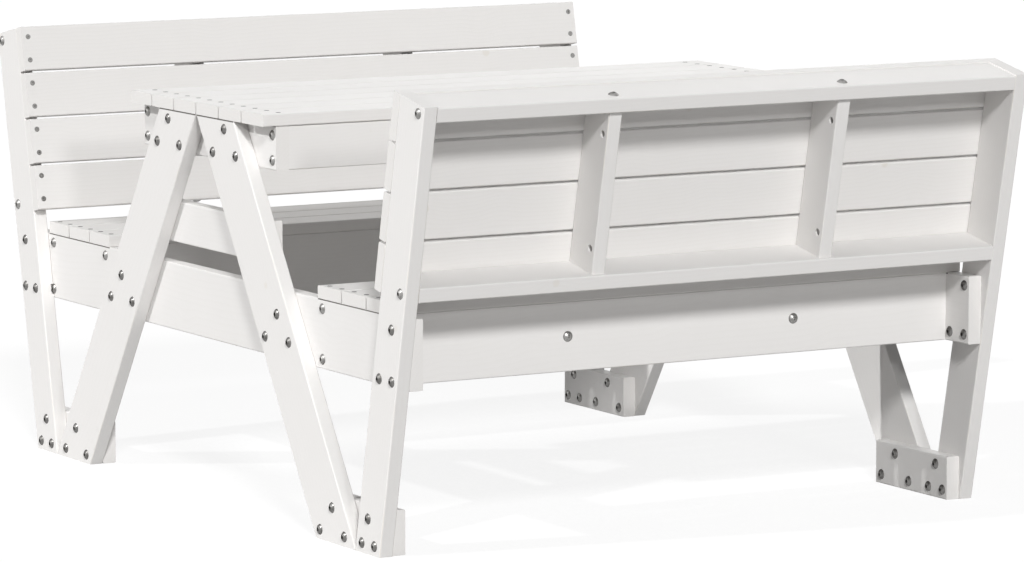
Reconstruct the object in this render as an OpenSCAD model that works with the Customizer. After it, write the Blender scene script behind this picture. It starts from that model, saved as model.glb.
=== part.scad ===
// Children's picnic table: a slatted table between two slatted benches with backs,
// carried by two bolted end frames. X runs along the table, Y across the benches,
// Z is up, and the origin lies on the ground under the middle of the table.

/* [Overall] */
// Length over the two end frames
length = 1000; // [860:10:1300]
// Height of the table top above the ground
table_height = 591; // [575:1:640]
// Height of the seats above the ground
seat_height = 357; // [330:1:375]

/* [Boards] */
// Thickness of every frame board
board_t = 21.5; // [20:0.5:24]
// Width of the legs, seat beams, seat aprons, seat rails and bearers
wide_w = 100.5; // [94:0.5:106]
// Width of the back posts and of the back rails
post_w = 70; // [66:0.5:76]
// Width of the table battens, table aprons and foot plates
narrow_w = 64.5; // [60:0.5:70]
// Width of the collar ties
tie_w = 62; // [54:0.5:70]
// Depth of the stiles behind the back slats
stile_w = 64; // [61:0.5:66]
// Radius of the eased arrises along every board
arris_r = 2; // [1:0.25:3]

/* [Slats] */
// Thickness of the slats
slat_t = 18; // [16:0.5:20]
// Width of each slat
slat_w = 69; // [66:0.5:72]
// Gap between neighbouring slats
slat_gap = 3.7; // [2.5:0.1:5]

/* [End frames] */
// Distance from the middle to the heel of each leg, on the ground
leg_heel = 370.3; // [360:0.5:390]
// Gap between the two legs of a frame, where they meet under the table top
leg_top_gap = 1; // [0.5:0.5:6]
// Lean of the back posts from the vertical, in degrees
post_lean = 11.6; // [8:0.1:14]
// How much of the leg's toe is nipped off for the foot of the post
toe_nip = 2.6; // [1:0.1:5]
// Clearance between the nipped toe and the post
foot_gap = 0.3; // [0.2:0.1:1]
// Height of the collar tie above the underside of the seats
tie_rise = 32; // [20:1:50]
// Distance from the tie's ends to the leg's outer edge, at the tie's upper edge
tie_inset = 20; // [14:1:26]
// How far the foot plate starts inside the leg's heel
plate_heel = 2; // [0:0.5:4]
// How far the foot plate stops short of the post's outer edge
plate_short = 3; // [1:0.5:6]

/* [Table and benches] */
// Distance from the edge of the slats to the aprons of the table and the seats
apron_inset = 3.4; // [2:0.1:6]
// Distance from the rear edge of the seat to the seat rail
rail_inset = 4.8; // [3:0.1:7]
// Gap between the seat's rear edge and the posts, at the height of the seat
seat_post_gap = 7.4; // [5:0.1:10]
// Gap between the seats and the lowest back slats, along the posts
back_gap = 16.9; // [8:0.1:30]
// Drop of the top rail below the top of the posts
rail_drop = 1.8; // [0:0.2:5]
// Rise of the bottom rail above the lower edge of the lowest back slat
rail_rise = 5.2; // [3:0.2:12]
// Distance between the two stiles of each back, centre to centre
stile_spacing = 379.4; // [300:0.2:480]

/* [Fasteners] */
// Diameter of the domed bolt and nut heads
head_d = 15.6; // [14:0.1:16]
// Height of the domed heads
head_h = 4; // [3:0.1:4.4]
// Size of the hexagon sockets across their flats
socket_af = 5; // [4:0.5:6]
// Diameter of the bolt shanks
shank_d = 6; // [5:0.5:7]
// Outer diameter of the sleeve nuts
sleeve_d = 9; // [8.5:0.25:9.5]
// Distance from a board's edge to the nearest row of bolts
bolt_edge = 14; // [13:0.25:15]
// Distance between neighbouring bolts of a group
bolt_pitch = 36.4; // [34:0.2:38]
// How far the bolt groups of the legs lie inside the leg's centre line
leg_bolt_in = 2; // [0:0.5:4]
// Distance from the seat beam's end to its outermost bolts
beam_bolt_in = 12; // [11:0.25:14]
// Distance from the back slats' plane to the bolts of the back rails
rail_bolt_v = 55; // [50:0.5:58]
// Distance from the back slats' plane to the bolts of the stiles
stile_bolt_v = 52; // [46:0.5:53]
// Diameter of the cross dowels
dowel_d = 10; // [9:0.25:11]
// Length of the cross dowels
dowel_len = 16; // [14:0.5:17]
// Distance from a board's end to its cross dowel
dowel_in = 35; // [30:0.5:37]
// Diameter of the screws' heads
screw_head_d = 8; // [7:0.1:9]
// Diameter of the screws' shanks
screw_d = 4; // [3.5:0.1:4.4]
// Length of the slat screws
slat_screw_len = 25; // [22.5:0.5:25.5]
// Length of the tie screws
tie_screw_len = 35; // [30:0.5:38]
// Distance from a slat's centre line to its screws
screw_off = 18.2; // [14:0.1:22]
// Distance from the ends of the collar tie to its screws
tie_screw_in = 22; // [18:0.5:26]
// Clearance round bolts, sleeves and dowels in their bores
bore_gap = 0.3; // [0.2:0.05:0.4]
// Clearance round screws in their holes
screw_gap = 0.15; // [0.1:0.05:0.25]
// Clearance at the blind ends of bores and pockets
blind_gap = 0.8; // [0.5:0.1:1.2]
// Reach of the frame bolts into their sleeve nuts
thread_in = 18.5; // [15:0.5:19]
// How much shorter the sleeves are than the boards they stand in
sleeve_short = 1.5; // [1.2:0.1:2]
// Reach of the end bolts past their cross dowels
bolt_past = 2; // [1:0.5:4]
// Width of the slot in the cross dowels
slot_w = 1.2; // [1:0.1:1.6]
// Depth of the slot in the cross dowels
slot_deep = 1; // [0.6:0.1:1.5]
// Height of the straight rim of a screw's head
screw_rim = 0.5; // [0.3:0.1:0.8]
// Length of a screw's point
screw_point = 2; // [1:0.5:4]
// Size of the hexagon sockets in the screws
screw_socket = 2.6; // [2:0.1:3]
// Depth of the hexagon sockets in the screws
screw_socket_deep = 1.6; // [1:0.1:2]

/* [Hidden] */
$fn = 32;
table_slat_count = 6;
seat_slat_count = 3;
back_slat_count = 4;

paint = [0.93, 0.93, 0.92];
steel = [0.55, 0.55, 0.56];

ENDS = [["left", -1], ["right", 1]];
BENCHES = [["front", -1], ["rear", 1]];
CORNERS = [for (e = ENDS, b = BENCHES) [str(e[0], "_", b[0]), e[1], b[1]]];

// Layers of an end frame, from the outside: legs and posts, then the cross boards
outer_x = length / 2;
inner_x = outer_x - board_t;
clear_x = inner_x - board_t;
outer_mid = (outer_x + inner_x) / 2;
inner_mid = (inner_x + clear_x) / 2;
past = 1; // every cut runs this far past the face that it opens
reach = 2 * table_height; // longer than any board of an end frame
stile_x = stile_spacing / 2;

// Heights
table_under = table_height - slat_t;
batten_low = table_under - narrow_w;
seat_under = seat_height - slat_t;
beam_low = seat_under - wide_w;
beam_mid = (seat_under + beam_low) / 2;
tie_low = seat_under + tie_rise;
tie_high = tie_low + tie_w;
tie_mid = (tie_low + tie_high) / 2;

// Legs: the heel line runs from the ground to the point where the two legs meet
leg_run = leg_heel - leg_top_gap / 2;
leg_angle = atan(leg_run / table_under);
leg_level = wide_w / cos(leg_angle);
function heel_y(z) = leg_top_gap / 2 + (table_under - z) * tan(leg_angle);
function leg_y(z) = heel_y(z) + leg_level / 2;
function leg_out_y(z) = heel_y(z) + leg_level;

// Posts: the slat plane leans out from the foot of the post
post_foot = leg_out_y(0) - toe_nip;
function post_in_y(z) = post_foot + z * tan(post_lean);
function post_out_y(z) = post_in_y(z) + post_w / cos(post_lean);
function post_y(z) = (post_in_y(z) + post_out_y(z)) / 2;

// Boards of the end frames
beam_half = post_out_y(beam_low);
tie_half = leg_out_y(tie_high) - tie_inset;
plate_in = heel_y(0) - plate_heel;
plate_out = post_out_y(0) - plate_short;

// Table, from the middle outwards
slat_pitch = slat_w + slat_gap;
function slats_across(count) = count * slat_pitch - slat_gap;
table_half = slats_across(table_slat_count) / 2;
apron_out = table_half - apron_inset;
apron_y = apron_out - board_t / 2;

// Seats, from the posts inwards
seat_rear = post_in_y(seat_height) - seat_post_gap;
seat_front = seat_rear - slats_across(seat_slat_count);
seat_apron_y = seat_front + apron_inset + board_t / 2;
seat_rail_y = seat_rear - rail_inset - board_t / 2;

// Backs, in the plane of the slats: v runs outwards and u up along the lean
slats_low_u = seat_height / cos(post_lean) + back_gap;
back_top_u = slats_low_u + slats_across(back_slat_count);
rail_top_u = back_top_u - rail_drop - board_t / 2;
rail_low_u = slats_low_u + rail_rise + board_t / 2;

// Bolt and screw places as [y, z], for the frame's rear half
function triangle(y, z, half) = [[y - half, z], [y + half, z], [y, z + bolt_pitch]];
function leg_triangle(z) = triangle(leg_y(z) - leg_bolt_in, z, bolt_pitch);
leg_top_bolts = leg_triangle(batten_low + bolt_edge);
leg_beam_bolts = leg_triangle(beam_mid - bolt_pitch / 2);
leg_foot_bolts = leg_triangle(bolt_edge);
post_foot_bolts = triangle(post_y(bolt_edge), bolt_edge, bolt_pitch / 2);
post_bolt_y = beam_half - beam_bolt_in;
post_beam_bolts = [
    [post_bolt_y - bolt_pitch, beam_low + bolt_edge],
    [post_bolt_y, beam_low + bolt_edge],
    [post_bolt_y, seat_under - bolt_edge]];
leg_bolts = concat(leg_top_bolts, leg_beam_bolts, leg_foot_bolts);
post_bolts = concat(post_beam_bolts, post_foot_bolts);
plate_bolts = concat(leg_foot_bolts, post_foot_bolts);
beam_bolts = concat(leg_beam_bolts, post_beam_bolts);
apron_bolt_z = [batten_low + bolt_edge, table_under - bolt_edge];
beam_bolt_z = [beam_low + bolt_edge, seat_under - bolt_edge];
tie_screw_y = tie_half - tie_screw_in;
tie_screw_z = [tie_mid - tie_w / 4, tie_mid + tie_w / 4];
back_rails_u = [rail_top_u, rail_low_u];
// Where the two ends of a stile meet the rails, with the way into the stile
stile_ends = [[rail_top_u - board_t / 2, -1], [rail_low_u + board_t / 2, 1]];

// Bores
bolt_bore = shank_d + 2 * bore_gap;
sleeve_bore = sleeve_d + 2 * bore_gap;
dowel_bore = dowel_d + 2 * bore_gap;
frame_bolt_len = board_t + thread_in;
sleeve_len = board_t - sleeve_short;
end_bolt_in = dowel_in + dowel_d / 2 + bolt_past;
end_bolt_bore_in = end_bolt_in + blind_gap;
dowel_bore_in = (board_t + dowel_len) / 2 + blind_gap;
head_pocket = head_h + blind_gap;
screw_cone = (screw_head_d - screw_d) / 2;

function slat_y(i, count) = (i - (count + 1) / 2) * slat_pitch;
function seat_slat_y(i) = seat_front + slat_w / 2 + (i - 1) * slat_pitch;
function back_slat_u(i) = back_top_u - slat_w / 2 - (i - 1) * slat_pitch;

// Mirrors what is drawn for the right end and the rear bench to another corner
module mirror_if(yes, axis) {
    if (yes) mirror(axis) children();
    else children();
}
module at(end, bench) mirror_if(end < 0, [1, 0, 0]) mirror_if(bench < 0, [0, 1, 0]) children();

// Turns x, v, u of the rear bench's back into x, y, z
module in_back() translate([0, post_foot, 0]) rotate([-post_lean, 0, 0]) children();

// Section of a board, centred, with eased corners
module section(a, b) {
    square([a - 2 * arris_r, b], center = true);
    square([a, b - 2 * arris_r], center = true);
    for (sa = [-1, 1], sb = [-1, 1])
        translate([sa * (a / 2 - arris_r), sb * (b / 2 - arris_r)]) circle(r = arris_r);
}
module board_x(x0, x1, y, z, wy, wz)
    translate([x0, y, z]) rotate([90, 0, 90]) linear_extrude(x1 - x0) section(wy, wz);
module board_y(y0, y1, x, z, wx, wz)
    translate([x, y1, z]) rotate([90, 0, 0]) linear_extrude(y1 - y0) section(wx, wz);
module board_z(z0, z1, x, y, wx, wy)
    translate([x, y, z0]) linear_extrude(z1 - z0) section(wx, wy);

module bore_x(x0, x1, y, z, d) translate([x0, y, z]) rotate([0, 90, 0]) cylinder(h = x1 - x0, d = d);
module bore_y(y0, y1, x, z, d) translate([x, y0, z]) rotate([-90, 0, 0]) cylinder(h = y1 - y0, d = d);
module bore_z(z0, z1, x, y, d) translate([x, y, z0]) cylinder(h = z1 - z0, d = d);

// Keeps what stands on the ground and below a level
module level_cut(high) translate([clear_x, 0, 0]) cube([3 * board_t, reach, high]);

// Countersunk hole for a screw through a board of thickness t, with its head at z = 0,
// and the pilot hole in the board below it
module screw_hole(t) {
    translate([0, 0, -screw_rim - screw_cone])
        cylinder(h = screw_cone, d1 = screw_d + 2 * screw_gap, d2 = screw_head_d + 2 * screw_gap);
    translate([0, 0, -screw_rim]) cylinder(h = screw_rim + past, d = screw_head_d + 2 * screw_gap);
    translate([0, 0, -t - past]) cylinder(h = t, d = screw_d + 2 * screw_gap);
}
module pilot(depth) translate([0, 0, -depth - screw_gap])
    cylinder(h = depth + screw_gap + past, d = screw_d + 2 * screw_gap);

// End frames
module leg(end, bench) color(paint) at(end, bench) difference() {
    intersection() {
        translate([outer_mid, leg_y(0), 0]) rotate([leg_angle, 0, 0])
            board_z(-wide_w, reach, 0, 0, board_t, wide_w);
        level_cut(table_under);
    }
    in_back() translate([clear_x, -foot_gap, -post_w]) cube([3 * board_t, post_w, 2 * post_w]);
    for (p = leg_bolts) bore_x(inner_x - past, outer_x + past, p[0], p[1], bolt_bore);
    for (z = tie_screw_z) translate([inner_x, tie_screw_y, z]) rotate([0, -90, 0])
        pilot(tie_screw_len - board_t);
}

module post(end, bench) color(paint) at(end, bench) difference() {
    intersection() {
        in_back() board_z(-post_w, back_top_u, outer_mid, post_w / 2, board_t, post_w);
        level_cut(reach);
    }
    for (p = post_bolts) bore_x(inner_x - past, outer_x + past, p[0], p[1], bolt_bore);
    bore_x(inner_x - past, inner_x + head_pocket, seat_rail_y, beam_bolt_z[0], head_d + 2 * bore_gap);
    in_back() {
        for (u = back_rails_u) bore_x(inner_x - past, outer_x + past, rail_bolt_v, u, bolt_bore);
        for (i = [1:back_slat_count], s = [-1, 1])
            translate([outer_mid, 0, back_slat_u(i) + s * screw_off]) rotate([90, 0, 0])
                pilot(slat_screw_len - slat_t);
    }
}

module foot_plate(end, bench) color(paint) at(end, bench) difference() {
    board_y(plate_in, plate_out, inner_mid, narrow_w / 2, board_t, narrow_w);
    for (p = plate_bolts) bore_x(clear_x - past, inner_x + past, p[0], p[1], sleeve_bore);
}

module seat_beam(end) color(paint) difference() {
    at(end, 1) board_y(-beam_half, beam_half, inner_mid, beam_mid, board_t, wide_w);
    for (b = [-1, 1]) at(end, b) {
        for (p = beam_bolts) bore_x(clear_x - past, inner_x + past, p[0], p[1], sleeve_bore);
        for (y = [seat_apron_y, seat_rail_y], z = beam_bolt_z)
            bore_x(clear_x - past, inner_x + past, y, z, bolt_bore);
        for (i = [1:seat_slat_count], s = [-1, 1])
            translate([inner_mid, seat_slat_y(i) + s * screw_off, seat_under]) pilot(slat_screw_len - slat_t);
    }
}

module collar_tie(end) color(paint) difference() {
    at(end, 1) board_y(-tie_half, tie_half, inner_mid, tie_mid, board_t, tie_w);
    for (b = [-1, 1], z = tie_screw_z) at(end, b)
        translate([clear_x, tie_screw_y, z]) rotate([0, -90, 0]) screw_hole(board_t);
}

module table_batten(end) color(paint) difference() {
    at(end, 1) board_y(-apron_out, apron_out, inner_mid, batten_low + narrow_w / 2, board_t, narrow_w);
    for (b = [-1, 1]) at(end, b) {
        for (p = leg_top_bolts) bore_x(clear_x - past, inner_x + past, p[0], p[1], sleeve_bore);
        for (z = apron_bolt_z) bore_x(clear_x - past, inner_x + past, apron_y, z, bolt_bore);
    }
    for (i = [1:table_slat_count], s = [-1, 1]) at(end, 1)
        translate([inner_mid, slat_y(i, table_slat_count) + s * screw_off, table_under])
            pilot(slat_screw_len - slat_t);
}

// Bores in the two ends of a lengthwise board for its end bolts and cross dowels.
// The dowels go in from the face on the way side, across the board's thickness along Y.
module lengthwise_bores(y, rows, way) for (e = [-1, 1], z = rows) mirror_if(e < 0, [1, 0, 0]) {
    bore_x(clear_x - end_bolt_bore_in, clear_x + past, y, z, bolt_bore);
    translate([clear_x - dowel_in, y + way * board_t / 2, z]) rotate([way * 90, 0, 0])
        translate([0, 0, -past]) cylinder(h = dowel_bore_in + past, d = dowel_bore);
}

// Table
module table_apron(bench) color(paint) at(1, bench) difference() {
    board_x(-clear_x, clear_x, apron_y, batten_low + narrow_w / 2, board_t, narrow_w);
    lengthwise_bores(apron_y, apron_bolt_z, -1);
    for (x = [-stile_x, stile_x])
        bore_y(apron_out - board_t - past, apron_out + past, x, batten_low + narrow_w / 2, bolt_bore);
}

// A short board across the table or a seat, with a bolt and a cross dowel at each end
module crosswise_board(x, y0, y1, z, w) difference() {
    board_y(y0, y1, x, z, board_t, w);
    for (side = [[y0, 1], [y1, -1]]) {
        translate([x, side[0], z]) rotate([-side[1] * 90, 0, 0]) translate([0, 0, -past])
            cylinder(h = end_bolt_bore_in + past, d = bolt_bore);
        translate([x - board_t / 2, side[0] + side[1] * dowel_in, z]) rotate([0, 90, 0])
            translate([0, 0, -past]) cylinder(h = dowel_bore_in + past, d = dowel_bore);
    }
}

module table_cross_battens() color(paint) for (x = [-stile_x, stile_x])
    crosswise_board(x, -apron_out + board_t, apron_out - board_t, batten_low + narrow_w / 2, narrow_w);

module table_slat(i) color(paint) {
    y = slat_y(i, table_slat_count);
    difference() {
        board_x(-outer_x, outer_x, y, table_height - slat_t / 2, slat_w, slat_t);
        for (x = [-inner_mid, inner_mid], s = [-1, 1])
            translate([x, y + s * screw_off, table_height]) screw_hole(slat_t);
    }
}

// Seats
module seat_apron(bench) color(paint) at(1, bench) difference() {
    board_x(-clear_x, clear_x, seat_apron_y, beam_mid, board_t, wide_w);
    lengthwise_bores(seat_apron_y, beam_bolt_z, 1);
    for (x = [-stile_x, stile_x])
        bore_y(seat_apron_y - board_t, seat_apron_y + board_t, x, beam_mid, bolt_bore);
}

module seat_rail(bench) color(paint) at(1, bench) difference() {
    board_x(-clear_x, clear_x, seat_rail_y, beam_mid, board_t, wide_w);
    lengthwise_bores(seat_rail_y, beam_bolt_z, -1);
    for (x = [-stile_x, stile_x])
        bore_y(seat_rail_y - board_t, seat_rail_y + board_t, x, beam_mid, bolt_bore);
}

module seat_bearers() color(paint) for (b = [-1, 1], x = [-stile_x, stile_x]) at(1, b)
    crosswise_board(x, seat_apron_y + board_t / 2, seat_rail_y - board_t / 2, beam_mid, wide_w);

module seat_slat(bench, i) color(paint) at(1, bench) difference() {
    board_x(-inner_x, inner_x, seat_slat_y(i), seat_height - slat_t / 2, slat_w, slat_t);
    for (x = [-inner_mid, inner_mid], s = [-1, 1])
        translate([x, seat_slat_y(i) + s * screw_off, seat_height]) screw_hole(slat_t);
}

// Backs
module back_rail(bench, u) color(paint) at(1, bench) in_back() difference() {
    board_x(-inner_x, inner_x, post_w / 2, u, post_w, board_t);
    for (e = [-1, 1]) mirror_if(e < 0, [1, 0, 0]) {
        bore_x(inner_x - end_bolt_bore_in, inner_x + past, rail_bolt_v, u, bolt_bore);
        bore_z(u - board_t / 2 - past, u - board_t / 2 + dowel_bore_in, inner_x - dowel_in, rail_bolt_v,
            dowel_bore);
        bore_z(u - board_t, u + board_t, stile_x, stile_bolt_v, bolt_bore);
    }
}

module back_stile(bench, end) color(paint) at(1, bench) in_back() {
    x = end * stile_x;
    difference() {
        board_z(stile_ends[1][0], stile_ends[0][0], x, stile_w / 2, board_t, stile_w);
        for (s = stile_ends) {
            translate([x, stile_bolt_v, s[0]]) mirror_if(s[1] < 0, [0, 0, 1])
                translate([0, 0, -past]) cylinder(h = end_bolt_bore_in + past, d = bolt_bore);
            bore_x(x - board_t / 2 - past, x - board_t / 2 + dowel_bore_in, stile_bolt_v,
                s[0] + s[1] * dowel_in, dowel_bore);
        }
    }
}

module back_slat(bench, i) color(paint) at(1, bench) in_back() difference() {
    board_x(-outer_x, outer_x, -slat_t / 2, back_slat_u(i), slat_t, slat_w);
    for (x = [-outer_mid, outer_mid], s = [-1, 1])
        translate([x, -slat_t, back_slat_u(i) + s * screw_off]) rotate([90, 0, 0]) screw_hole(slat_t);
}

// Fasteners stand at the origin with their heads above z = 0 and their shanks below
module domed_head() {
    dome_r = (head_d * head_d / 4 + head_h * head_h) / (2 * head_h);
    difference() {
        intersection() {
            translate([0, 0, head_h - dome_r]) sphere(r = dome_r, $fn = 64);
            cylinder(h = head_h, d = head_d);
        }
        translate([0, 0, head_h / 3]) cylinder(h = head_h, d = socket_af / cos(30), $fn = 6);
    }
}

module bolt(len) {
    domed_head();
    translate([0, 0, -len]) cylinder(h = len, d = shank_d);
}

module sleeve_nut() {
    domed_head();
    translate([0, 0, -sleeve_len]) difference() {
        cylinder(h = sleeve_len, d = sleeve_d);
        translate([0, 0, -past]) cylinder(h = sleeve_len, d = shank_d + bore_gap);
    }
}

// A cross dowel lies along Z, centred, with its bolt hole along X and a slot in its end
module cross_dowel() difference() {
    cylinder(h = dowel_len, d = dowel_d, center = true);
    rotate([0, 90, 0]) cylinder(h = 2 * dowel_d, d = shank_d + bore_gap, center = true);
    translate([0, 0, -dowel_len / 2]) cube([2 * dowel_d, slot_w, 2 * slot_deep], center = true);
}

module screw(len) difference() {
    rotate_extrude() polygon([
        [0, 0], [screw_head_d / 2, 0], [screw_head_d / 2, -screw_rim],
        [screw_d / 2, -screw_rim - screw_cone], [screw_d / 2, -len + screw_point], [0, -len]]);
    translate([0, 0, -screw_socket_deep])
        cylinder(h = screw_socket_deep + past, d = screw_socket / cos(30), $fn = 6);
}

// Every bolt place of the end frames
module each_frame_bolt() for (e = [-1, 1], b = [-1, 1], p = concat(leg_bolts, post_bolts))
    at(e, b) translate([0, p[0], p[1]]) children();

module frame_bolts() color(steel) each_frame_bolt()
    translate([outer_x, 0, 0]) rotate([0, 90, 0]) bolt(frame_bolt_len);

module sleeve_nuts() color(steel) each_frame_bolt()
    translate([clear_x, 0, 0]) rotate([0, -90, 0]) sleeve_nut();

// Every end joint, with the bolt's axis along Z, the end grain at z = 0 and the board that
// it is bolted to above. The cross dowel goes in from the side that side_turn gives.
module each_end_joint() for (b = [-1, 1]) {
    for (e = [-1, 1]) at(e, b) {
        for (row = apron_bolt_z)
            translate([clear_x, apron_y, row]) rotate([0, 90, 0]) rotate([0, 0, 90]) children();
        for (row = beam_bolt_z) {
            translate([clear_x, seat_apron_y, row]) rotate([0, 90, 0]) rotate([0, 0, -90]) children();
            translate([clear_x, seat_rail_y, row]) rotate([0, 90, 0]) rotate([0, 0, 90]) children();
        }
        in_back() for (u = back_rails_u)
            translate([inner_x, rail_bolt_v, u]) rotate([0, 90, 0]) rotate([0, 0, 180]) children();
    }
    for (x = [-stile_x, stile_x]) at(1, b) {
        in_back() for (s = stile_ends)
            translate([x, stile_bolt_v, s[0]]) mirror_if(s[1] > 0, [0, 0, 1]) children();
        translate([x, apron_out - board_t, batten_low + narrow_w / 2]) rotate([-90, 0, 0]) children();
        translate([x, seat_apron_y + board_t / 2, beam_mid]) rotate([90, 0, 0]) children();
        translate([x, seat_rail_y - board_t / 2, beam_mid]) rotate([-90, 0, 0]) children();
    }
}

module end_bolts() color(steel) each_end_joint() translate([0, 0, board_t]) bolt(board_t + end_bolt_in);

module cross_dowels() color(steel) each_end_joint()
    translate([0, 0, -dowel_in]) rotate([0, 90, 0]) cross_dowel();

module slat_screws() color(steel) for (s = [-1, 1], e = [-1, 1]) {
    for (i = [1:table_slat_count])
        translate([e * inner_mid, slat_y(i, table_slat_count) + s * screw_off, table_height])
            screw(slat_screw_len);
    for (b = [-1, 1]) at(e, b) {
        for (i = [1:seat_slat_count])
            translate([inner_mid, seat_slat_y(i) + s * screw_off, seat_height]) screw(slat_screw_len);
        in_back() for (i = [1:back_slat_count])
            translate([outer_mid, -slat_t, back_slat_u(i) + s * screw_off]) rotate([90, 0, 0])
                screw(slat_screw_len);
    }
}

module tie_screws() color(steel) for (e = [-1, 1], b = [-1, 1], z = tie_screw_z)
    at(e, b) translate([clear_x, tie_screw_y, z]) rotate([0, -90, 0]) screw(tie_screw_len);

for (c = CORNERS) {
    leg(c[1], c[2]);
    post(c[1], c[2]);
    foot_plate(c[1], c[2]);
}
for (e = ENDS) {
    seat_beam(e[1]);
    collar_tie(e[1]);
    table_batten(e[1]);
}
table_cross_battens();
for (i = [1:table_slat_count])
    table_slat(i);
seat_bearers();
for (b = BENCHES) {
    table_apron(b[1]);
    seat_apron(b[1]);
    seat_rail(b[1]);
    for (i = [1:seat_slat_count])
        seat_slat(b[1], i);
    back_rail(b[1], rail_top_u);
    back_rail(b[1], rail_low_u);
    for (e = ENDS)
        back_stile(b[1], e[1]);
    for (i = [1:back_slat_count])
        back_slat(b[1], i);
}
frame_bolts();
sleeve_nuts();
end_bolts();
cross_dowels();
slat_screws();
tie_screws();
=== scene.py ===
import random
from math import radians

import bmesh
import bpy
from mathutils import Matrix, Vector

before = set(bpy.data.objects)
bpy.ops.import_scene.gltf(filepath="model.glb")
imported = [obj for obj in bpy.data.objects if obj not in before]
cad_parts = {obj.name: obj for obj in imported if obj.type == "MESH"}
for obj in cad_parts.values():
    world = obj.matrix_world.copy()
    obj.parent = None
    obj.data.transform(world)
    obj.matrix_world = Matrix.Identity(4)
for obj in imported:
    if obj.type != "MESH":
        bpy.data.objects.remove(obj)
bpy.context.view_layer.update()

# The camera stands low, off the near left corner of the table, and far enough
# away that the two A-frame ends look almost the same size.
looks_down, looks_along = 7.391, 60.012  # degrees under the horizon, and from +X towards +Y
lens = bpy.data.cameras.new("photo_view")
lens.sensor_width = 36.0
lens.lens = 192.86
lens.clip_end = 200.0
camera = bpy.data.objects.new("photo_view", lens)
camera.location = (-4.1016, -7.1694, 1.3654)
camera.rotation_euler = (radians(90 - looks_down), 0.0, radians(looks_along - 90))
bpy.context.scene.collection.objects.link(camera)
bpy.context.scene.camera = camera


# The A-frame legs: two planed pine boards, 21.5 x 100.5 mm, lean together at
# each end of the table and meet under its top. They are brushed with satin
# white paint, which still shows the rings, the knots and the brush strokes.
def put(tree, kind, inputs=(), **settings):
    """Adds a shader node. An input that is a socket is wired, any other is set."""
    made = tree.nodes.new("ShaderNode" + kind)
    for name, value in settings.items():
        setattr(made, name, value)
    for name, value in dict(inputs).items():
        if isinstance(value, bpy.types.NodeSocket):
            tree.links.new(value, made.inputs[name])
        else:
            made.inputs[name].default_value = value
    return made


def maths(tree, operation, a, b=0.0, c=0.0):
    return put(tree, "Math", {0: a, 1: b, 2: c}, operation=operation).outputs[0]


def vectors(tree, operation, *inputs):
    return put(tree, "VectorMath", enumerate(inputs), operation=operation).outputs[0]


def split(tree, vector):
    """Gives the X, Y and Z of a vector."""
    return put(tree, "SeparateXYZ", {0: vector}).outputs


def noise(tree, place, scale, detail, roughness):
    return put(tree, "TexNoise", {"Vector": place, "Scale": scale, "Detail": detail,
                                  "Roughness": roughness}).outputs


def ease(tree, value, low, high):
    """A soft step of value, from 0 at low to 1 at high."""
    return put(tree, "MapRange", {"Value": value, "From Min": low, "From Max": high},
               interpolation_type="SMOOTHSTEP").outputs["Result"]


def tint(tree, amount, a, b):
    """Mixes colour a towards colour b."""
    return put(tree, "Mix", {0: amount, 6: a, 7: b}, data_type="RGBA").outputs[2]


def finish_group(name, takes):
    """Starts a node group that works out a finish from the named inputs."""
    tree = bpy.data.node_groups.new(name, "ShaderNodeTree")
    gives = (("Color", "Color"), ("Roughness", "Float"), ("Relief", "Float"))
    for way, sockets in (("INPUT", takes), ("OUTPUT", gives)):
        for label, kind in sockets:
            tree.interface.new_socket(label, in_out=way, socket_type="NodeSocket" + kind)
    return tree, tree.nodes.new("NodeGroupInput").outputs, tree.nodes.new("NodeGroupOutput").inputs


def new_material(name):
    made = bpy.data.materials.new(name)
    made.use_nodes = True
    made.node_tree.nodes.clear()
    return made, made.node_tree


def dress(node, made):
    """Puts a material on a CAD node."""
    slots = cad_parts[node].data.materials
    slots.clear()
    slots.append(made)


pine, given, result = finish_group("painted_pine", (
    ("Board", "Vector"), ("Normal", "Vector"), ("Place", "Vector"), ("Facing", "Vector"),
    ("Paint", "Color"), ("Thin paint", "Color"), ("Bare pine", "Color"), ("Top shade", "Color"),
    ("Painted shade", "Color"), ("Grain", "Float"), ("Wear", "Float"), ("Seam", "Float"),
    ("Seam from", "Float"), ("Seam to", "Float")))

# Knots sit where a branch crossed the board, and the rings run round them.
branch = put(pine, "TexVoronoi", {"Vector": given["Board"], "Scale": 9.0, "Randomness": 1.0},
             feature="F1").outputs["Distance"]
knot = ease(pine, branch, 0.075, 0.045)
swirl = ease(pine, branch, 0.42, 0.0)
wander = noise(pine, given["Board"], 2.4, 2.0, 0.5)["Color"]
drift = vectors(pine, "MULTIPLY_ADD", wander, (0.0, 0.03, 0.03), given["Board"])
bent = put(pine, "CombineXYZ", {"Y": maths(pine, "MULTIPLY", swirl, 0.009)}).outputs[0]
tilted = put(pine, "Mapping", {"Vector": vectors(pine, "ADD", drift, bent),
                               "Location": (0.0, 0.021, 0.034),
                               "Rotation": (0.0, 0.032, 0.018)}).outputs[0]
rings = put(pine, "TexWave", {"Vector": tilted, "Scale": 62.0, "Distortion": 1.1, "Detail": 2.0,
                              "Detail Scale": 0.35, "Detail Roughness": 0.55},
            wave_type="RINGS", rings_direction="X", wave_profile="SAW").outputs["Fac"]
late_wood = ease(pine, rings, 0.45, 0.95)
along_brush = vectors(pine, "MULTIPLY", given["Board"], (7.0, 520.0, 520.0))
strokes = noise(pine, along_brush, 1.0, 3.0, 0.6)["Fac"]
along_grain = vectors(pine, "MULTIPLY", given["Board"], (45.0, 1500.0, 1500.0))
pores = noise(pine, along_grain, 1.0, 2.0, 0.7)["Fac"]
patches = noise(pine, given["Board"], 9.0, 3.0, 0.55)["Fac"]

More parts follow.
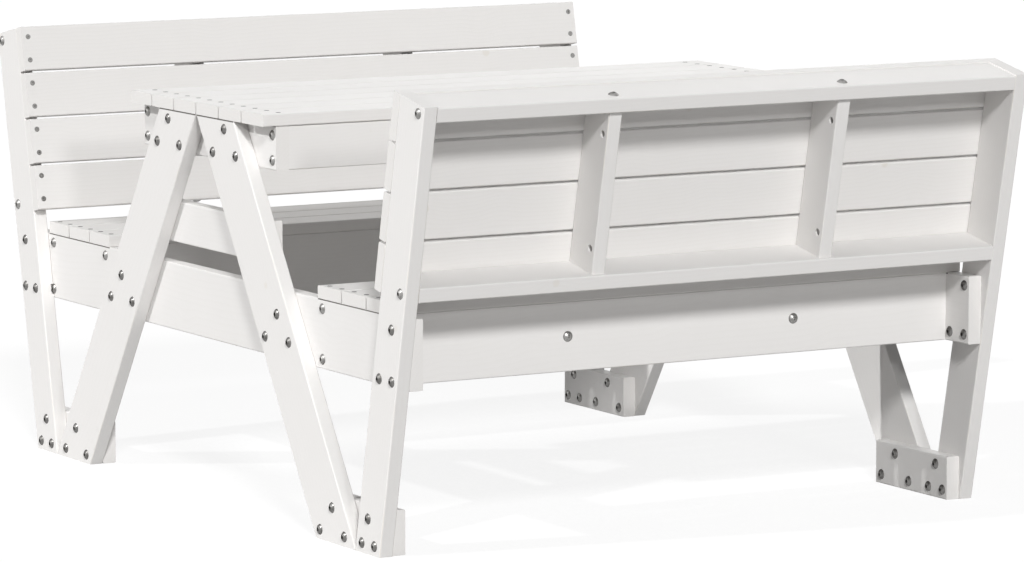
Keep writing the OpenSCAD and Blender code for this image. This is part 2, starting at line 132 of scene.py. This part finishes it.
# The rounded arrises and the sawn ends take the paint more thinly than the faces.
side = split(pine, vectors(pine, "ABSOLUTE", given["Normal"]))
flattest = maths(pine, "MAXIMUM", maths(pine, "MAXIMUM", side[0], side[1]), side[2])
arris = ease(pine, flattest, 0.985, 0.86)
sawn = ease(pine, side[0], 0.62, 0.8)
rubbed = maths(pine, "MULTIPLY", ease(pine, patches, 0.46, 0.68), arris)
rubbed = maths(pine, "MULTIPLY", rubbed, given["Wear"])
thinness = maths(pine, "MULTIPLY_ADD", late_wood, 0.28, maths(pine, "MULTIPLY", patches, 0.45))
thinness = maths(pine, "MULTIPLY_ADD", strokes, 0.2, thinness)
thinness = maths(pine, "MULTIPLY", thinness, given["Grain"])
thinness = maths(pine, "MULTIPLY_ADD", sawn, 0.35, thinness)
coat = tint(pine, thinness, given["Paint"], given["Thin paint"])
stain = maths(pine, "MULTIPLY", knot, maths(pine, "MULTIPLY", given["Grain"], 0.3))
coat = tint(pine, stain, coat, given["Bare pine"])
coat = tint(pine, rubbed, coat, given["Bare pine"])

# What faces up is painted a little greyer, as painted shade that holds the tops down from white.
upward = split(pine, given["Facing"])[2]
coat = tint(pine, ease(pine, upward, 0.1, 0.6), coat, given["Top shade"])

# Painted shade: a thin dark line under the ends of slats, on the broad face of the board they lie
# on.
seam_shade_whole, seam_shade_gone = 0.0014, 0.0024  # metres below the top of the board
place = split(pine, given["Place"])
outward = maths(pine, "ABSOLUTE", place[1])
covered = maths(pine, "MULTIPLY", maths(pine, "GREATER_THAN", outward, given["Seam from"]),
                maths(pine, "LESS_THAN", outward, given["Seam to"]))
depth = maths(pine, "SUBTRACT", given["Seam"], place[2])
seam_shaded = maths(pine, "MULTIPLY", ease(pine, depth, seam_shade_gone, seam_shade_whole),
              ease(pine, side[1], 0.6, 0.85))
coat = tint(pine, maths(pine, "MULTIPLY", seam_shaded, covered), coat, given["Painted shade"])
pine.links.new(coat, result["Color"])

gloss = maths(pine, "MULTIPLY_ADD", patches, 0.16, 0.48)
gloss = maths(pine, "MULTIPLY_ADD", sawn, 0.16, gloss)
pine.links.new(maths(pine, "MULTIPLY_ADD", rubbed, 0.15, gloss), result["Roughness"])
relief = maths(pine, "MULTIPLY", late_wood, given["Grain"])
for bumps, share in ((knot, 0.9), (strokes, 0.55), (pores, 0.25)):
    relief = maths(pine, "MULTIPLY_ADD", bumps, share, relief)
pine.links.new(relief, result["Relief"])

satin_white = {
    "Paint": (0.80, 0.786, 0.773, 1.0), "Thin paint": (0.765, 0.748, 0.728, 1.0),
    "Bare pine": (0.66, 0.6, 0.5, 1.0), "Top shade": (0.705, 0.694, 0.682, 1.0),
    "Painted shade": (0.1, 0.094, 0.086, 1.0), "Wear": 0.35}
paint_relief = 0.00003  # metres
frame_grain = 0.7  # how strongly the wood shows through, where a slat has 1
no_seam = (10.0, 0.0, 1.0)  # a height above every board, over all its reach
along_log, off_heart = 2.0, 0.05  # metres that a board's cut may lie from the log's middle
luck = random.Random(11)


def paint_board(board, turn, grain=frame_grain, seam=no_seam):
    """Gives a CAD board its own cut of painted pine. turn lays its length along X."""
    made, tree = new_material(board + "_paint")
    where = put(tree, "TexCoord").outputs
    start = (luck.uniform(-along_log, along_log), luck.uniform(-off_heart, off_heart),
             luck.uniform(-off_heart, off_heart))
    cut = put(tree, "Mapping", {"Vector": where["Object"], "Location": start, "Rotation": turn})
    facing = put(tree, "Mapping", {"Vector": where["Normal"], "Rotation": turn},
                 vector_type="NORMAL")
    look = put(tree, "Group", {
        "Board": cut.outputs[0], "Normal": facing.outputs[0], "Place": where["Object"],
        "Facing": where["Normal"], "Grain": grain, "Seam": seam[0], "Seam from": seam[1],
        "Seam to": seam[2], **satin_white}, node_tree=pine).outputs
    bump = put(tree, "Bump", {"Height": look["Relief"], "Strength": 1.0, "Distance": paint_relief})
    shader = put(tree, "BsdfPrincipled", {
        "Base Color": look["Color"], "Roughness": look["Roughness"], "Normal": bump.outputs[0],
        "IOR": 1.45, "Specular IOR Level": 0.12})
    put(tree, "OutputMaterial", {"Surface": shader.outputs[0]})
    dress(board, made)


def seam_on(board, start=0.0, stop=1.0):
    """Where slats lie on a board: the height of its top, and their reach outwards in metres."""
    top = max(corner.co.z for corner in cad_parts[board].data.vertices)
    return top, start, stop


def leaning(slope):
    """The turn for a board that rises crosswise at so many degrees from the ground."""
    return radians(-slope), 0.0, radians(-90)


leg_slope = 57.16
for end in ("left", "right"):
    for bench, slope in (("front", leg_slope), ("rear", 180 - leg_slope)):
        leg = "leg_%s_%s" % (end, bench)
        paint_board(leg, leaning(slope), seam=seam_on(leg))

# The back posts: 21.5 x 70 mm boards that stand on the ground beside the legs'
# toes and lean out by 11.6 degrees, to carry the benches and their backs.
lean = 11.6
back_slopes = (("front", 90 + lean), ("rear", 90 - lean))
for end in ("left", "right"):
    for bench, slope in back_slopes:
        paint_board("post_%s_%s" % (end, bench), leaning(slope))

# The foot plates join each leg to its post, and the seat beams, the collar ties
# and the table battens cross the legs above them. All are painted boards, flat
# against the legs' inner faces, the ties with screws and the others with bolts.
crosswise = leaning(0)
seat_reach = [abs(corner.co.y) for count in range(1, 4)
              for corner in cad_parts["seat_slat_front_%d" % count].data.vertices]
for end in ("left", "right"):
    for bench in ("front", "rear"):
        paint_board("foot_plate_%s_%s" % (end, bench), crosswise)
    beam, batten = "seat_beam_" + end, "table_batten_" + end
    paint_board(beam, crosswise, seam=seam_on(beam, min(seat_reach), max(seat_reach)))
    paint_board("collar_tie_" + end, crosswise)
    paint_board(batten, crosswise, seam=seam_on(batten))

# The aprons close the long sides of the table top, on edge under its slats,
# and two cross battens under the top keep the slats level. Painted as the rest.
lengthwise = (0.0, 0.0, 0.0)
for bench in ("front", "rear"):
    paint_board("table_apron_" + bench, lengthwise)
paint_board("table_cross_battens", crosswise)

# The table top: six 18 x 69 mm slats with rounded arrises, screwed down at
# both ends, and narrow gaps between them to let the rain through.
slat_grain = 1.0
for count in range(1, 7):
    paint_board("table_slat_%d" % count, lengthwise, slat_grain)

# The benches: an apron and a rail on edge under the two long sides of each
# seat, short bearers across between them, and three slats on top, which reach
# the outer faces of the seat beams.
for bench in ("front", "rear"):
    paint_board("seat_apron_" + bench, lengthwise)
    paint_board("seat_rail_" + bench, lengthwise)
    for count in range(1, 4):
        paint_board("seat_slat_%s_%d" % (bench, count), lengthwise, slat_grain)
paint_board("seat_bearers", crosswise)

# The backs: a top rail and a bottom rail between the posts, two stiles between
# the rails, and four slats screwed on from the seat's side.
for bench, slope in back_slopes:
    for board in ("back_top_rail_", "back_bottom_rail_"):
        paint_board(board + bench, lengthwise)
    for end in ("left", "right"):
        paint_board("back_stile_%s_%s" % (bench, end), leaning(slope))
    for count in range(1, 5):
        paint_board("back_slat_%s_%d" % (bench, count), lengthwise, slat_grain)

# The fasteners are zinc-plated steel: domed bolts with a hexagon socket in
# sleeve nuts or in cross dowels, and countersunk screws. The plating is dull
# grey and a little cloudy, and level screw heads are painted nearly black, as shade.
zinc, given, result = finish_group("zinc_plating", (
    ("Place", "Vector"), ("Facing", "Vector"), ("Zinc", "Color"), ("Tarnish", "Color"),
    ("Painted shade", "Color"), ("Scale", "Float"), ("Level head shade", "Float")))
cloud = noise(zinc, given["Place"], given["Scale"], 4.0, 0.6)["Fac"]
fine = maths(zinc, "MULTIPLY", given["Scale"], 9.0)
speck = noise(zinc, given["Place"], fine, 2.0, 0.5)["Fac"]
dull = ease(zinc, cloud, 0.42, 0.66)
# Painted shade: screw heads that face up turn nearly black.
level = ease(zinc, split(zinc, given["Facing"])[2], 0.75, 0.95)
shaded_heads = maths(zinc, "MULTIPLY", level, given["Level head shade"])
plating = tint(zinc, dull, given["Zinc"], given["Tarnish"])
zinc.links.new(tint(zinc, shaded_heads, plating, given["Painted shade"]), result["Color"])
gloss = maths(zinc, "MULTIPLY_ADD", dull, 0.18, 0.3)
zinc.links.new(maths(zinc, "MULTIPLY_ADD", shaded_heads, 0.25, gloss), result["Roughness"])
zinc.links.new(speck, result["Relief"])

dark_zinc = {"Zinc": (0.2, 0.196, 0.19, 1.0), "Tarnish": (0.12, 0.116, 0.11, 1.0)}
pale_zinc = {"Zinc": (0.33, 0.325, 0.316, 1.0), "Tarnish": (0.21, 0.206, 0.198, 1.0)}
# the colour of the painted shade on level screw heads
head_shade_tone = (0.012, 0.011, 0.01, 1.0)
zinc_relief = 0.00003  # metres
bolt_clouds, screw_clouds = 160.0, 240.0  # to the metre
bolt_edge, screw_edge = 0.45, 0.2  # what the plating throws back at a glancing angle


def plate_with_zinc(hardware, plating, clouds, edge, level_head_shade=0.0):
    made, tree = new_material(hardware + "_zinc")
    where = put(tree, "TexCoord").outputs
    look = put(tree, "Group", {
        "Place": where["Object"], "Facing": where["Normal"], "Painted shade": head_shade_tone,
        "Scale": clouds, "Level head shade": level_head_shade, **plating}, node_tree=zinc).outputs
    bump = put(tree, "Bump", {"Height": look["Relief"], "Strength": 1.0, "Distance": zinc_relief})
    shader = put(tree, "BsdfPrincipled", {
        "Base Color": look["Color"], "Metallic": 1.0, "Specular Tint": (edge, edge, edge, 1.0),
        "Roughness": look["Roughness"], "Normal": bump.outputs[0]})
    put(tree, "OutputMaterial", {"Surface": shader.outputs[0]})
    dress(hardware, made)


for hardware in ("frame_bolts", "sleeve_nuts"):
    plate_with_zinc(hardware, dark_zinc, bolt_clouds, bolt_edge)
for hardware in ("end_bolts", "cross_dowels"):
    plate_with_zinc(hardware, pale_zinc, bolt_clouds, bolt_edge)
for hardware in ("slat_screws", "tie_screws"):
    plate_with_zinc(hardware, pale_zinc, screw_clouds, screw_edge, level_head_shade=1.0)

# The studio: a wide pale floor, which looks white round the table but keeps its
# shadow, and a white surround, which throws almost no light on it.
floor_reach = 45.0  # metres
ground = bmesh.new()
bmesh.ops.create_circle(ground, cap_ends=True, segments=96, radius=floor_reach)
mesh = bpy.data.meshes.new("studio_floor")
ground.to_mesh(mesh)
ground.free()
floor = bpy.data.objects.new("studio_floor", mesh)
bpy.context.scene.collection.objects.link(floor)


def seen_directly(tree):
    """1 for what is looked at, also in a reflection or through glass, and 0 for other light."""
    ray = put(tree, "LightPath").outputs
    in_gloss = maths(tree, "MAXIMUM", ray["Is Glossy Ray"], ray["Is Transmission Ray"])
    return maths(tree, "MAXIMUM", ray["Is Camera Ray"], in_gloss)


# Where the floor is looked at, most of its white is its own glow, and the rest
# is lit by the lamps, so that the shadow shows faintly.
bounce_tone, lit_tone, floor_glow = 0.42, 0.16, 0.86
pure_white = (1.0, 1.0, 1.0, 1.0)
white, tree = new_material("studio_white")
seen = seen_directly(tree)
pale = put(tree, "MapRange", {"Value": seen, "To Min": bounce_tone, "To Max": lit_tone})
paper = put(tree, "BsdfDiffuse", {"Color": pale.outputs["Result"]})
shine = put(tree, "Emission", {"Color": pure_white,
                               "Strength": maths(tree, "MULTIPLY", seen, floor_glow)})
both = put(tree, "AddShader", {0: paper.outputs[0], 1: shine.outputs[0]})
put(tree, "OutputMaterial", {"Surface": both.outputs[0]})
floor.data.materials.append(white)

surround_light = 0.04
world = bpy.data.worlds.new("studio_surround")
bpy.context.scene.world = world
world.use_nodes = True
tree = world.node_tree
tree.nodes.clear()
sky = put(tree, "Background", {"Color": pure_white, "Strength": maths(
    tree, "MULTIPLY_ADD", seen_directly(tree), 1.0 - surround_light, surround_light)})
put(tree, "OutputWorld", {"Surface": sky.outputs[0]})

# The key lamp stands beyond the left end of the table, the fill lamp in front of
# it, a small lamp low beside the camera, and three wide ones low round the back.
# Each has a direction, a strength and a width in degrees.
for name, towards, strength, width in (
        ("key_lamp", (1.0, -0.03, -0.74), 1.74, 1.5),
        ("fill_lamp", (0.4, 1.0, -0.72), 2.3, 8.5),
        ("camera_lamp", (0.15, 1.0, -0.33), 0.48, 5.0),
        ("left_back_lamp", (0.85, -0.5, -0.24), 0.62, 40.0),
        ("right_back_lamp", (-0.85, -0.5, -0.3), 0.65, 40.0),
        ("back_lamp", (-0.45, -0.8, -0.3), 0.6, 40.0)):
    lamp = bpy.data.lights.new(name, "SUN")
    lamp.energy = strength
    lamp.angle = radians(width)
    stand = bpy.data.objects.new(name, lamp)
    stand.rotation_euler = Vector(towards).to_track_quat("-Z", "Y").to_euler()
    bpy.context.scene.collection.objects.link(stand)

bpy.context.scene.view_settings.view_transform = "Standard"
